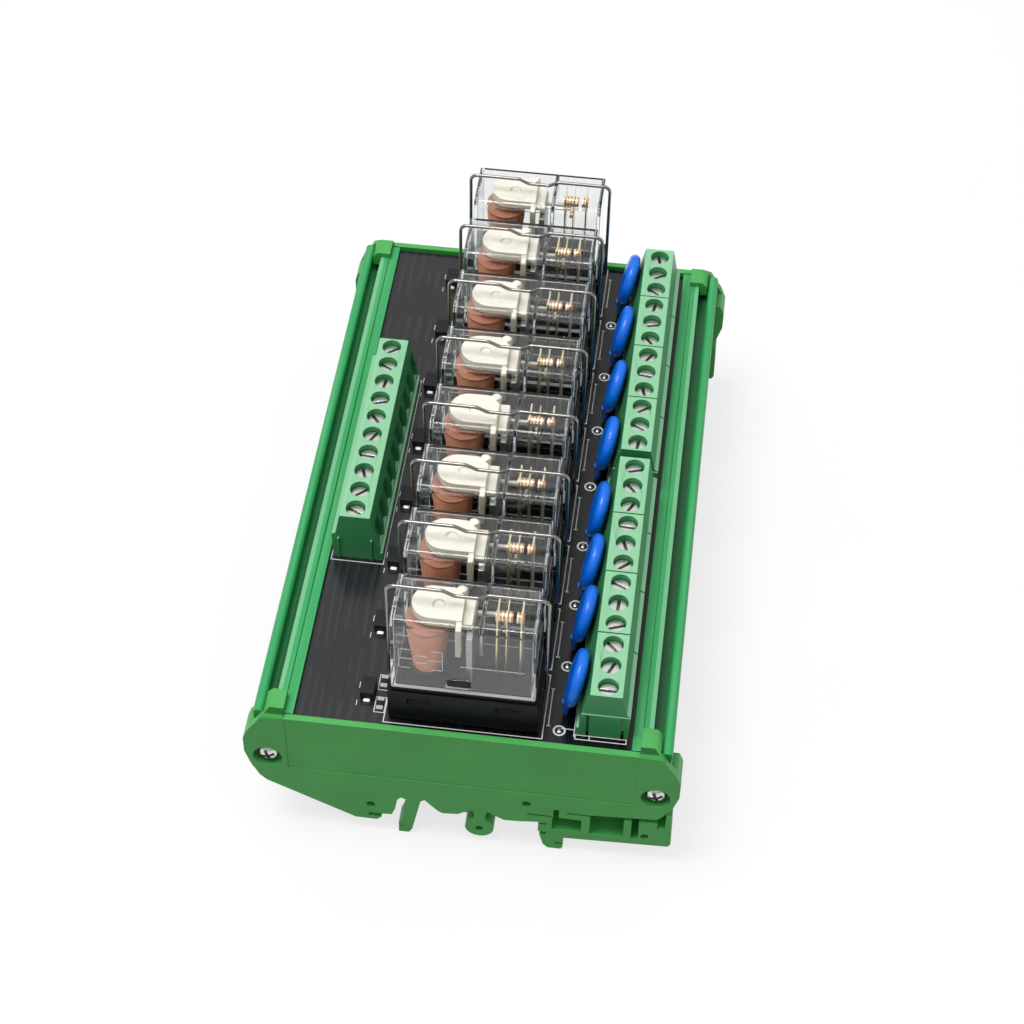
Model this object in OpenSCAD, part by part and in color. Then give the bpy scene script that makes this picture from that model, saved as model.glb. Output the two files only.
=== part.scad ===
// Interface relay module for a 35 mm mounting rail: eight plug-in relays with wire clips on a circuit board,
// held by an extruded carrier between two end plates. The rail runs along Y. The origin is the middle of the
// footprint, at the tips of the rail feet.

/* [Circuit board] */
// Width across the carrier
board_w = 69.6; // [66:0.1:80]
// Length along the carrier
board_l = 132.2; // [131:0.1:180]
// Thickness
board_t = 1.6; // [1:0.1:2.4]
// Square notch in each corner
board_notch = 2; // [1:0.1:4]

/* [Carrier profile] */
// Depth from the board's top face to the underside of the floor
tray_depth = 16; // [15:0.1:24]
// Thickness of the floor
floor_t = 1.6; // [1:0.1:2.5]
// Thickness of the wall beside the board
inner_wall = 1; // [0.8:0.1:1.6]
// Width of the groove between the two walls
groove_w = 2.3; // [1.8:0.1:4]
// Thickness of the outer wall
outer_wall = 1.6; // [1:0.1:2.4]
// Radius of the bead on the outer wall
bead_r = 1.05; // [0.8:0.05:1.2]
// Thickness of the flange over the board's edge
flange_t = 0.9; // [0.6:0.1:1.5]
// Reach of the flange over the board
flange_w = 2.8; // [1.5:0.1:3.2]
// Thickness of the ledge under the board's edge
ledge_t = 1.2; // [0.8:0.1:2]
// Reach of the ledge under the board
ledge_w = 2.2; // [1.5:0.1:3]
// Height of the pale strip above the flange
strip_h = 0.4; // [0.2:0.1:0.8]
// Width of the pale strip
strip_w = 1.9; // [1.2:0.1:2.4]
// Depth of the groove's floor below the board's top face
groove_depth = 2.8; // [2:0.1:5]
// Outer radius of the screw boss
boss_r = 2.2; // [2:0.1:2.5]
// Height of the screw boss over the underside of the floor
boss_z = 4.4; // [3:0.1:6]

/* [End plates] */
// Thickness of the web
plate_t = 1.5; // [1.2:0.1:2.5]
// Depth of the rail foot, measured from the outer face
rim_depth = 3.8; // [3:0.1:8]
// Depth of the rail latch, measured from the outer face
latch_depth = 5.6; // [3.8:0.1:8]
// Depth of the ears, measured from the outer face
ear_depth = 6; // [3:0.1:8]
// Overhang of the plate beyond the outer wall
plate_over = 2.2; // [1.6:0.1:4]
// Height of the plate's top edge over the board
plate_top = 1; // [0.6:0.1:1.2]
// Height of the ears over the board
ear_top = 2.6; // [2.4:0.1:5]
// Height of the rail foot below the floor of the carrier
foot_h = 16.3; // [15.5:0.1:20]
// Width of the rail over its lips
rail_w = 35; // [34:0.1:36]
// Thickness of the rail's lips
rail_lip = 1; // [0.8:0.1:1.3]
// Offset of the rail from the middle of the carrier
rail_x = -0.7; // [-1.5:0.1:1]
// Diameter of the screws
screw_d = 2.4; // [2:0.1:2.8]
// Diameter of the screw heads
screw_head_d = 4.3; // [3.8:0.1:4.8]
// Diameter of the recess round a screw head
screw_recess_d = 5.7; // [5.4:0.1:6.5]
// Length of the screws under the head
screw_l = 8; // [5:0.5:14]

/* [Relays] */
// Number of relays
relay_n = 8; // [4:1:8]
// Distance from the near end of the board to the first relay
relay_first = 8.7; // [7.5:0.1:9.5]
// Distance from the last relay to the far end of the board
relay_last = 7.65; // [7:0.05:9]
// Length of a socket
socket_l = 28.6; // [27.6:0.1:29]
// Width of a socket
socket_w = 13.6; // [12.8:0.1:14]
// Height of a socket
socket_h = 8.6; // [8:0.1:12]
// Step from a socket's end to the end of its relay
end_step = 0.7; // [0.5:0.05:0.9]
// Step from a socket's long face to that of its relay
side_step = 0.5; // [0.4:0.05:0.6]
// Height of a relay over its socket
relay_h = 20; // [20:0.1:24]
// Wall of a relay cover
cover_wall = 0.7; // [0.5:0.05:0.8]
// Chamfer on the cover's long top edges
cover_chamfer = 1; // [0.5:0.1:1.5]
// Thickness of the base flange under the cover
base_flange = 1.1; // [0.8:0.1:1.3]
// Outer radius of a coil
coil_r = 4.1; // [3.6:0.1:4.3]
// Radius of a coil at its lower end
coil_low_r = 3; // [2.4:0.1:3.4]

/* [Clips] */
// Diameter of the wire
wire_d = 0.7; // [0.6:0.05:1]
// Height of the pivot over the board
pivot_z = 5.5; // [4:0.1:6.5]
// Clearance between a clip's bar and the relay's top
bar_gap = 2.05; // [1.6:0.05:3]
// Depth of the dip in the bar
dip_depth = 1.1; // [0.5:0.05:1.2]
// Gap between a clip's legs and the socket
leg_gap = 0.35; // [0.2:0.05:0.6]
// Length of the bent end inside the socket
clip_end = 1.5; // [1:0.1:2]
// Bend radius of the wire
wire_bend = 1.5; // [1:0.1:2]
// Rearward lean of each clip in degrees, near to far
clip_lean = [1, -1, -3, -5.5, -1.5, -1, 0, -0.5];

/* [Terminals] */
// Distance between terminal poles
pole_pitch = 5.08; // [5:0.01:5.08]
// Height of the terminal blocks
block_h = 12.5; // [12:0.1:16]
// Width of a block at its foot
block_w = 9.8; // [9.4:0.1:10.2]
// Poles in one output block
block_poles = 3; // [2:1:3]
// Output blocks in each half of the row
half_blocks = 4; // [3:1:4]
// Gap between the halves of the output row
half_gap = 1.8; // [1:0.1:2.6]
// Distance from the near end of the board to the output row
row_first = 3; // [2.6:0.1:4]
// Distance from the board's middle line to the screws of the output row
output_x = 26.8; // [26.4:0.1:27.2]
// Poles in the input block
input_poles = 10; // [4:1:12]
// Distance from the board's middle line to the screws of the input block
input_x = 27; // [26.6:0.1:27.4]
// Offset of the input block towards the near end
input_y = 0.25; // [-8:0.05:8]
// Diameter of a terminal screw head
pole_screw_d = 3.5; // [3:0.1:3.6]
// Depth of the screw heads below the block's top
pole_sink = 1.3; // [0.8:0.1:2]

/* [Small parts] */
// Diameter of a varistor
varistor_d = 11.6; // [9:0.1:12]
// Thickness of a varistor
varistor_t = 3.4; // [3:0.1:3.8]
// Height of a varistor's centre over the board
varistor_z = 7.6; // [7:0.1:9]
// Distance from the board's middle line to the middle of the varistors
varistor_x = 20.5; // [19.6:0.1:20.6]
// Lean of the varistors towards the terminals in degrees
varistor_lean = 11; // [6:1:12]
// Turn of each varistor about its vertical axis in degrees, near to far
varistor_turn = [4, 5, 4, 2, 3, 5, 4, 5];
// Offset of each varistor along the row from the middle of its block, near to far
varistor_shift = [-0.1, 0.3, -1.7, -2.9, -1.7, -0.4, 1, 2.2];
// Distance from the board's middle line to the diodes
diode_x = 19; // [18:0.1:20]
// Height of a diode
diode_h = 2.1; // [1.5:0.1:2.6]

/* [Hidden] */
$fn = 48;

// Shared clearances
fit = 0.1;
slide = 0.2;
eps = 0.01;

// Carrier, measured from its middle plane and from the board's top face
board_top = tray_depth + foot_h;
slot_x = board_w / 2 + slide;
groove_x = slot_x + inner_wall;
outer_x = groove_x + groove_w;
half_w = outer_x + outer_wall;
bead_x = half_w - 0.9;
boss_x = groove_x + boss_r - 0.6;
floor_z = -tray_depth;
ledge_z = -board_t - fit;
plate_in = board_l / 2 + slide;
plate_out = plate_in + plate_t;
plate_half = half_w + plate_over;
screw_z = floor_z + boss_z;
bore_r = screw_d / 2 + 0.05;
recess_depth = plate_t - 0.4;
head_h = 1;
head_dome = 2.8;

// Rail foot, measured from the underside of the carrier's floor
lip_drop = 10.9;
lip_slot = rail_lip + fit;
rail_near = rail_x - rail_w / 2 - fit;
rail_far = rail_x + rail_w / 2 + fit;
foot_z = floor_z - foot_h;

// Relays
relay_pitch = (board_l - relay_first - relay_last) / (relay_n - 1);
cover_l = socket_l - 2 * end_step;
cover_w = socket_w - 2 * side_step;
cover_z = socket_h + base_flange;
relay_top = socket_h + relay_h;
base_top = cover_z + 0.9;
yoke_top = relay_top - 4.6;
core_x = -7.3;
core_r = 1.4;
hinge_x = 0.3;
nc_x = 5.6;
blade_x = 7.4;
no_x = 10.1;
blade_w = 4.7;
blade_y = 1.15;
blade_t = 0.3;
rivet_z = relay_top - 3.6;
bobbin_z = base_top + 0.05;
bobbin_top = yoke_top - 0.4;
bobbin_flange = 0.6;
bobbin_foot = 0.35;
bobbin_r = core_r + 0.6;
taper_h = 10;
yoke_z = base_top - 1.1;
yoke_x = [core_x - 3.9, hinge_x + 1.2];
yoke_y = 4.3;
cap_y = 0.7;
cap_r = 3.9;
// Latch window in the long faces of a cover, for a lug of the base
window_x = [-3.1, 1.4];
window_z = [cover_z + 1.4, cover_z + 3.7];
leg_x = socket_l / 2 + leg_gap + wire_d / 2;
bar_z = relay_top + bar_gap + wire_d / 2;

// Terminals
row_start = -board_l / 2 + row_first;
block_l = block_poles * pole_pitch;
half_l = half_blocks * block_l;
screw_hole_r = pole_screw_d / 2 + 0.2;
chamber = 4.2;
chamber_h = 7.2;
pin_r = 0.5;
output_poles = 2 * half_blocks * block_poles;
wall_in = 5.5;
// Keys at the ends of the blocks: slots in the near face, ribs on the far one
key_x = 3.05;
key_w = 0.55;
key_h = 6.3;
key_depth = 0.5;
// Chips beside the diodes
chip_shift = 2.7;
chip_w = 1.25;
chip_l = 2;

function relay_y(i) = -board_l / 2 + relay_first + i * relay_pitch;
function block_y(i) = row_start + i * block_l + (i < half_blocks ? 0 : half_gap);
function pole_y(k) = block_y(floor(k / block_poles)) + (k % block_poles + 0.5) * pole_pitch;
function input_pole_y(k) = -input_y + (k - (input_poles - 1) / 2) * pole_pitch;

// Places a child on the board's top face
module on_board() {
    translate([0, 0, board_top]) children();
}

// Turns an outline in X and Z into a solid from y0 to y1
module along_y(y0, y1) {
    translate([0, y1, 0]) rotate([90, 0, 0]) linear_extrude(y1 - y0) children();
}

module box(x0, x1, y0, y1, z0, z1) {
    translate([x0, y0, z0]) cube([x1 - x0, y1 - y0, z1 - z0]);
}

module rect(x0, x1, z0, z1) {
    translate([x0, z0]) square([x1 - x0, z1 - z0]);
}

// A rod of radius r along X
module rod_x(x0, x1, r) {
    translate([x0, 0, 0]) rotate([0, 90, 0]) cylinder(r = r, h = x1 - x0);
}

module side_section() {
    difference() {
        union() {
            rect(slot_x, groove_x, floor_z, flange_t + fit + strip_h);
            rect(slot_x - flange_w, slot_x + eps, fit, flange_t + fit);
            rect(groove_x - strip_w, groove_x, flange_t, flange_t + fit + strip_h);
            rect(slot_x - ledge_w - slide, slot_x + eps, ledge_z - ledge_t, ledge_z);
            rect(groove_x - eps, outer_x + eps, -groove_depth - ledge_t, -groove_depth);
            rect(outer_x, half_w, floor_z, 0);
            rect(groove_x - eps, outer_x + eps, floor_z, floor_z + floor_t);
            translate([bead_x, -0.05]) circle(bead_r);
            translate([boss_x, screw_z]) circle(boss_r);
        }
        translate([boss_x, screw_z]) circle(bore_r);
    }
}

module carrier_profile() {
    color("mediumseagreen")
    on_board() along_y(-board_l / 2, board_l / 2) {
        rect(-slot_x - eps, slot_x + eps, floor_z, floor_z + floor_t);
        side_section();
        mirror([1, 0]) side_section();
    }
}

// Upper right corner of the plate, down to its widest point
function corner(s) = [
    [s * (slot_x - 1.1), plate_top],
    [s * (slot_x - 1.1), ear_top],
    [s * (groove_x + 0.6), ear_top],
    [s * outer_x, ear_top - 1.7],
    [s * (half_w - 0.5), -1],
    [s * (plate_half - 1.1), -3.5],
    [s * plate_half, -6.4],
    [s * plate_half, -10.5],
    [s * (plate_half - 1.1), -14.5]];

function reversed(list) = [for (i = [len(list) - 1:-1:0]) list[i]];
function lowered(list) = [for (p = list) [p[0], floor_z - p[1]]];

// Lower edge of the plate from the right side to the left one: X, and depth below the carrier's floor
lower_edge = [
    [half_w - 0.9, 1.8], [outer_x, 2.6], [24.9, 3.6], [15.3, 3.6], [15.3, 7.7], [11.7, 8.2], [8.6, 8.4],
    [6.3, 7], [0.6, 7.2], [-0.5, 8.1], [-3.5, 8.4], [-4.4, 7.9], [-7.1, 4.6], [-7.9, 5.2], [-9.7, 15],
    [-10.4, foot_h], [-12.4, foot_h], [-12.4, 13.5], [-11.5, 10.9], [-10.9, 5], [-11.8, 4.6], [-12.5, 5.5],
    [-13, 8.6], [-13.7, 10.7], [rail_near + 2.5, lip_drop], [rail_near, lip_drop], [rail_near, lip_drop + lip_slot],
    [rail_near + 2.5, lip_drop + lip_slot], [rail_near + 1.6, 13], [-21, 12.9], [-38.2, 3.4], [-39.5, 1.9]];

// Latch arm that snaps under the far lip of the rail
latch_edge = [
    [15.3, 3.5], [rail_far - 1.6, lip_drop], [rail_far, lip_drop], [rail_far, lip_drop + lip_slot],
    [rail_far - 1.3, lip_drop + lip_slot], [16.4, 15.3], [17.4, foot_h], [19.9, foot_h], [20.3, 15.6],
    [20.2, 12.3], [plate_half - 1.2, 11.4], [plate_half - 0.7, 10.5], [plate_half - 1, 1.4],
    [half_w + 0.1, 1.2], [half_w + 0.1, 5.6], [outer_x + 0.2, 5.6], [outer_x + 0.2, 4.1], [20.8, 4.1],
    [20.8, 3.5]];

module plate_outline() {
    polygon(reversed(concat(reversed(corner(-1)), corner(1), lowered(lower_edge))));
}

module eye_outline() {
    translate([3.7, floor_z - 11.9]) circle(2.85);
    rect(2.6, 4.9, floor_z - 11.9, floor_z - 6);
}

module foot_cuts() {
    // slits that let the latch arm bend
    rect(13.1, 17.9, floor_z - 5.7, floor_z - 5.2);
    rect(18.2, 19.3, floor_z - 6, floor_z - 3);
    // teeth
    rect(15, 16.9, floor_z - 8.6, floor_z - 7.9);
    rect(18.8, 20.6, floor_z - 14.8, floor_z - 14.1);
    rect(-12.8, -11.6, floor_z - 14.8, floor_z - 14.1);
    // windows
    rect(18, 23.7, floor_z - 9.8, floor_z - 5.6);
    rect(25.4, 32, floor_z - 10, floor_z - 3.9);
    rect(33.5, 34.9, floor_z - 10, floor_z - 3.9);
    // reliefs beside the eye and small holes
    rect(1.6, 2.5, floor_z - 9.3, floor_z - 6.5);
    rect(5, 5.9, floor_z - 9.3, floor_z - 6.5);
    translate([3.7, floor_z - 12.3]) circle(0.8);
    translate([-17.8, floor_z - 8]) circle(0.9);
    translate([12.9, floor_z - 2.1]) circle(0.9);
    translate([36.2, floor_z - 8.8]) circle(0.8);
}

module under_carrier() {
    difference() {
        intersection() {
            children();
            rect(-plate_half, plate_half, foot_z, floor_z - slide);
        }
        foot_cuts();
    }
}

// Ear over the profile's inner wall with a lug in its groove, and a tab beside its outer wall
module rim_section() {
    ear_under = flange_t + strip_h + 2 * fit;
    lug_x = bead_x - bead_r - 0.15;
    intersection() {
        plate_outline();
        union() {
            rect(slot_x - 2, lug_x, ear_under, ear_top + 1);
            rect(groove_x + fit, lug_x, -1, ear_under + eps);
            rect(half_w + fit, plate_half + 1, -14.5, -4.2);
        }
    }
}

module end_plate() {
    difference() {
        on_board() {
            along_y(-plate_out, -plate_in) difference() {
                union() {
                    plate_outline();
                    polygon(lowered(latch_edge));
                    eye_outline();
                }
                foot_cuts();
            }
            along_y(-plate_out, rim_depth - plate_out) under_carrier() {
                plate_outline();
                eye_outline();
            }
            along_y(-plate_out, latch_depth - plate_out) under_carrier() polygon(lowered(latch_edge));
            for (s = [0, 1]) mirror([s, 0, 0]) along_y(-plate_out, ear_depth - plate_out) rim_section();
        }
        // bevel along the front edge of the ears
        on_board() translate([-plate_half, -plate_out, 0]) rotate([90, 0, 90])
            linear_extrude(2 * plate_half)
            polygon([[-1, ear_top - 1.9], [0, ear_top - 1.9], [plate_t, ear_top], [plate_t, ear_top + 1],
                [-1, ear_top + 1]]);
        // shallow panel on the face
        on_board() box(1.3 - slot_x, slot_x - 1.3, -plate_out - 1, 0.15 - plate_out, floor_z + 1.5, 5);
        // pockets behind the web
        on_board() along_y(-plate_in, 5) {
            polygon(lowered([[-36, 2], [-21, 10.6], [-16, 10.6], [-14.6, 2]]));
            polygon(lowered([[-10, 1.2], [-9, 3.4], [-6.4, 3.4], [-3.2, 6.9], [0, 6.6], [11.2, 6.6], [11.2, 1.2]]));
        }
        // recesses for the screws
        for (s = [-1, 1]) on_board() translate([s * boss_x, -plate_out, screw_z]) rotate([-90, 0, 0]) {
            translate([0, 0, -1]) cylinder(d = screw_recess_d, h = 1 + recess_depth);
            translate([0, 0, -1]) cylinder(r = screw_d / 2 + 0.15, h = 2 + plate_t);
        }
    }
}

module end_plate_front() {
    color("seagreen") end_plate();
}

module end_plate_rear() {
    color("seagreen") mirror([0, 1, 0]) end_plate();
}

module pan_screw() {
    difference() {
        union() {
            intersection() {
                cylinder(d = screw_head_d, h = head_h);
                translate([0, 0, head_h - head_dome]) sphere(head_dome);
            }
            translate([0, 0, -screw_l]) cylinder(d = screw_d, h = screw_l + eps);
        }
        for (a = [0, 90]) rotate([0, 0, a + 20])
            translate([-1.35, -0.35, head_h - 0.75]) cube([2.7, 0.7, 1]);
    }
}

module end_plate_screws() {
    color("silver")
    for (end = [0, 1]) mirror([0, end, 0]) for (s = [-1, 1])
        on_board() translate([s * boss_x, recess_depth - plate_out, screw_z]) rotate([90, 0, 0]) pan_screw();
}

module circuit_board() {
    color("dimgray")
    on_board() translate([0, 0, -board_t]) difference() {
        translate([-board_w / 2, -board_l / 2, 0]) cube([board_w, board_l, board_t]);
        for (sx = [-1, 1], sy = [-1, 1])
            translate([sx * board_w / 2, sy * board_l / 2, board_t / 2])
                cube([2 * board_notch, 2 * board_notch, board_t + 1], center = true);
        for (k = [0:output_poles - 1]) translate([output_x, pole_y(k), -1]) cylinder(r = pin_r + fit, h = 4);
        for (k = [0:input_poles - 1]) translate([-input_x, input_pole_y(k), -1])
            cylinder(r = pin_r + fit, h = 4);
    }
}

// Pins of a relay: X place and the direction of the blade
relay_pins = [[-11, 0], [-3.4, 0], [nc_x, 1], [blade_x + 1.2, 0], [no_x + 1.6, 1]];

module relay_socket(i) {
    color("darkslategray")
    on_board() translate([0, relay_y(i), 0]) difference() {
        union() {
            box(-socket_l / 2, socket_l / 2, -socket_w / 2, socket_w / 2, 0.6, socket_h);
            for (sx = [-1, 1], sy = [-1, 1])
                translate([sx * (socket_l / 2 - 1.5), sy * (socket_w / 2 - 1.5), 0]) cylinder(r = 1.2, h = 0.7);
        }
        // bores for the clip's bent ends
        for (s = [-1, 1]) translate([s * socket_l / 2, 0, pivot_z]) rotate([0, 90, 0])
            cylinder(r = wire_d / 2 + 0.08, h = 2 * (clip_end + 0.15), center = true);
        // small recesses in the long faces
        for (s = [-1, 1], x = [-8.4, 8.4])
            translate([x, s * socket_w / 2, socket_h - 2.6]) cube([4.2, 0.6, 1.5], center = true);
        for (p = relay_pins) translate([p[0], 0, socket_h]) rotate([0, 0, 90 * (1 - p[1])])
            translate([-0.25 - slide, -1 - slide, -4]) cube([0.5 + 2 * slide, 2 + 2 * slide, 5]);
    }
}

module relay_base() {
    wall_y = cover_w / 2 - cover_wall;
    difference() {
        union() {
            box(-cover_l / 2, cover_l / 2, -cover_w / 2, cover_w / 2, socket_h, cover_z);
            box(cover_wall + fit - cover_l / 2, cover_l / 2 - cover_wall - fit, fit - wall_y, wall_y - fit,
                cover_z - eps, base_top);
        }
        // pocket for the yoke's foot
        box(yoke_x[0] - slide, yoke_x[1] + slide, -yoke_y - slide, yoke_y + slide, yoke_z - fit, base_top + 1);
    }
    // lugs that catch in the cover's windows
    for (s = [0, 1]) mirror([0, s, 0]) {
        box(window_x[0] + slide, window_x[1] - slide, wall_y - fit - 0.6, wall_y - fit, base_top - 0.1,
            window_z[1] - slide);
        box(window_x[0] + slide, window_x[1] - slide, wall_y - fit - 0.1, cover_w / 2 - fit,
            window_z[0] + slide, window_z[1] - slide);
    }
    for (p = relay_pins) translate([p[0], 0, socket_h]) rotate([0, 0, 90 * (1 - p[1])])
        translate([-0.25, -1, -3.4]) cube([0.5, 2, 3.5]);
}

module relay_bases() {
    color("black") for (i = [0:relay_n - 1]) on_board() translate([0, relay_y(i), 0]) relay_base();
}

module cover_outline(inset) {
    w = cover_w / 2 - inset;
    c = cover_chamfer - inset * 0.4;
    top = relay_top - inset;
    low = inset > 0 ? cover_z - 1 : cover_z;
    polygon([[-w, low], [w, low], [w, top - c], [w - c, top], [c - w, top], [-w, top - c]]);
}

module cover_block(inset) {
    translate([inset - cover_l / 2, 0, 0]) rotate([90, 0, 90])
        linear_extrude(cover_l - 2 * inset) cover_outline(inset);
}

module relay_cover(i) {
    color("lightgray", 0.4)
    on_board() translate([0, relay_y(i), 0]) {
        difference() {
            cover_block(0);
            cover_block(cover_wall);
            box(window_x[0], window_x[1], -cover_w, cover_w, window_z[0], window_z[1]);
        }
        // barrier between the coil and the contacts
        intersection() {
            cover_block(cover_wall / 2);
            box(3, 3.5, -cover_w, cover_w, relay_top - 7.4, relay_top);
        }
    }
}

module relay_yoke() {
    box(yoke_x[0], yoke_x[1], -yoke_y, yoke_y, yoke_z, yoke_z + 1);
    box(hinge_x, yoke_x[1], -yoke_y, yoke_y, yoke_z, yoke_top);
    translate([core_x, 0, yoke_z + 0.5]) cylinder(r = core_r, h = yoke_top - yoke_z - 0.8);
}

module relay_yokes() {
    color("silver") for (i = [0:relay_n - 1]) on_board() translate([0, relay_y(i), 0]) relay_yoke();
}

module coil_bobbin() {
    difference() {
        union() {
            translate([core_x, 0, bobbin_top - bobbin_flange]) cylinder(r = coil_r + 0.1, h = bobbin_flange);
            translate([core_x, 0, bobbin_z]) cylinder(r = coil_low_r + 0.3, h = bobbin_foot);
            translate([core_x, 0, bobbin_z]) cylinder(r = bobbin_r, h = bobbin_top - bobbin_z);
        }
        translate([core_x, 0, bobbin_z - 1]) cylinder(r = core_r + 0.05, h = bobbin_top - bobbin_z + 2);
    }
}

module coil_bobbins() {
    color("ivory") for (i = [0:relay_n - 1]) on_board() translate([0, relay_y(i), 0]) coil_bobbin();
}

module coil_windings() {
    coil_h = bobbin_top - bobbin_z - bobbin_flange - bobbin_foot - 0.1;
    color("peru") for (i = [0:relay_n - 1]) on_board() translate([core_x, relay_y(i), 0])
        translate([0, 0, bobbin_z + bobbin_foot + 0.05]) rotate_extrude() polygon([[bobbin_r + 0.05, 0],
            [coil_low_r, 0], [coil_r, taper_h], [coil_r, coil_h], [bobbin_r + 0.05, coil_h]]);
}

// Armature: an iron plate in an ivory moulding, with an arm that reaches the moving contact
module relay_armature(i) {
    plate_z = yoke_top + 0.3;
    cap_x = core_x + 0.8;
    arm_z = relay_top - 8.6;
    arm_x = blade_x - 0.4;
    color("ivory")
    on_board() translate([0, relay_y(i), 0]) {
        box(cap_x, hinge_x + 1, cap_y - cap_r + 0.6, cap_y + cap_r - 0.6, plate_z, plate_z + 1.2);
        translate([cap_x, cap_y, plate_z]) cylinder(r = cap_r - 0.6, h = 1.2);
        difference() {
            union() {
                translate([cap_x, cap_y, plate_z + 0.9]) cylinder(r = cap_r, h = 1.9);
                translate([0, 0, plate_z + 0.9]) linear_extrude(1.9) polygon([[cap_x, cap_y - cap_r],
                    [-0.6, cap_y - cap_r], [-0.6, 2.6], [-2.8, cap_y + cap_r], [cap_x, cap_y + cap_r]]);
            }
            translate([cap_x + 1.2, cap_y - 0.4, plate_z + 2.4]) cylinder(r = 1.1, h = 2);
        }
        translate([-1.6, 4.4, plate_z + 0.9]) cylinder(r = 0.9, h = 1.9);
        // posts at both sides of the coil, and an arm from the far one that passes below the barrier
        box(-1.6, -0.5, -5.2, -3.2, arm_z - 0.5, plate_z + 2.4);
        box(-1.8, -0.5, 4.4, 5.2, arm_z - 0.5, plate_z + 2.4);
        box(-1.8, arm_x, 4.4, 5.2, arm_z - 0.5, arm_z + 0.5);
        box(arm_x - 0.65, arm_x, 2, 5.2, arm_z - 0.5, arm_z + 0.5);
    }
}

module blade(x, t) {
    box(x - t / 2, x + t / 2, blade_y - blade_w / 2, blade_y + blade_w / 2, base_top, relay_top - 1.6);
}

module rivet(x0, x1) {
    translate([0, 0.6, rivet_z]) rod_x(x0, x1, 1.1);
}

module moving_contact(i) {
    color("gold")
    on_board() translate([0, relay_y(i), 0]) {
        translate([0, 0, 0.2]) difference() {
            blade(blade_x, blade_t - 0.1);
            box(blade_x - 1, blade_x + 1, -5, 5, relay_top - 2.1, relay_top);
        }
        rivet(blade_x - 0.8, blade_x + 1);
    }
}

module fixed_contacts() {
    color("goldenrod")
    for (i = [0:relay_n - 1]) on_board() translate([0, relay_y(i), 0]) {
        blade(nc_x, blade_t);
        rivet(nc_x - 0.4, blade_x - 0.85);
        blade(no_x, blade_t);
        rivet(blade_x + 1.7, no_x + 0.4);
    }
}

function unit(v) = v / norm(v);
function turn(a, b, c) = let (u = unit(b - a), v = unit(c - b)) atan2(u[0] * v[1] - u[1] * v[0], u * v);

// A round wire along a flat path, with a bend at each inner point, of the radius that the list bends gives. The
// rods end just inside the bends, which are a hair thicker.
module wire(path, r, bends) {
    lap = 0.05;
    n = len(path);
    trim = [for (k = [0:n - 1]) k == 0 || k == n - 1 ? 0 :
        bends[k - 1] * tan(abs(turn(path[k - 1], path[k], path[k + 1])) / 2)];
    for (k = [0:n - 2]) {
        u = unit(path[k + 1] - path[k]);
        from = trim[k] - (k == 0 ? 0 : lap);
        to = norm(path[k + 1] - path[k]) - trim[k + 1] + (k == n - 2 ? 0 : lap);
        translate([path[k][0], path[k][1], 0]) rotate([0, 0, atan2(u[1], u[0])]) rod_x(from, to, r);
    }
    for (k = [1:n - 2]) {
        u = unit(path[k] - path[k - 1]);
        t = turn(path[k - 1], path[k], path[k + 1]);
        s = sign(t);
        start = path[k] - u * trim[k];
        rb = bends[k - 1];
        centre = start + s * rb * [-u[1], u[0]];
        heading = atan2(u[1], u[0]);
        translate([centre[0], centre[1], 0]) rotate([0, 0, heading - s * 90 + min(t, 0)])
            rotate_extrude(angle = abs(t)) translate([rb, 0]) circle(r + 0.01);
    }
}

clip_path = [
    [clip_end - socket_l / 2, 0], [-leg_x, 0], [-leg_x, bar_z - pivot_z], [-4.6, bar_z - pivot_z],
    [-2.5, bar_z - dip_depth - pivot_z], [1.9, bar_z - dip_depth - pivot_z], [3.8, bar_z - pivot_z],
    [leg_x, bar_z - pivot_z], [leg_x, 0], [socket_l / 2 - clip_end, 0]];

// Tight bends at the pivots, wide ones along the legs and the bar
clip_bends = [for (k = [1:len(clip_path) - 2])
    k == 1 || k == len(clip_path) - 2 ? leg_gap + wire_d / 2 - 0.05 : wire_bend];

module retaining_clip(i) {
    color("gainsboro")
    on_board() translate([0, relay_y(i), pivot_z]) rotate([-clip_lean[i], 0, 0])
        rotate([90, 0, 0]) wire(clip_path, wire_d / 2, clip_bends);
}

// Block section, measured from the screw axis towards the outer side
module block_section() {
    polygon([
        [-wall_in, 0], [-wall_in, 2.2], [-wall_in + 0.6, 2.4], [-wall_in + 0.6, 5.2],
        [-3.2, block_h], [2.9, block_h], [3.9, block_h - 5.2], [block_w - wall_in + 0.4, block_h - 5.7],
        [block_w - wall_in + 0.2, 0]]);
}

module block_pole_cuts() {
    translate([0, 0, block_h - 5]) cylinder(r = screw_hole_r, h = 6);
    translate([0, 0, chamber_h / 2 + 0.8]) cube([chamber, chamber, chamber_h], center = true);
    box(0, 8, -1.7, 1.7, 1.6, 5.6);
    translate([0, 0, -1]) cylinder(r = pin_r + fit, h = 3);
}

// A block of n poles, with its key slots and ribs
module block_body(n) {
    end_y = n * pole_pitch - 0.02;
    difference() {
        along_y(0, end_y) block_section();
        for (s = [-1, 1]) translate([s * (key_x + key_w / 2), 0, 0])
            box(-key_w / 2, key_w / 2, -1, key_depth + 0.4, -1, key_h);
        // the upper part of the near face lies a little deeper
        box(-wall_in - 1, block_w, -1, 0.2, key_h + 0.3, block_h + 1);
    }
    for (s = [-1, 1]) translate([s * (key_x + key_w / 2), 0, 0])
        box(fit - key_w / 2, key_w / 2 - fit, end_y - eps, end_y + key_depth, 0.2, key_h - 0.2);
}

// Row of single blocks from block a to block b of the output row
module output_blocks(a, b) {
    color("mediumseagreen")
    on_board() for (i = [a:b]) translate([output_x, block_y(i), 0]) difference() {
        block_body(block_poles);
        for (k = [0:block_poles - 1]) translate([0, (k + 0.5) * pole_pitch, 0]) block_pole_cuts();
    }
}

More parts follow.
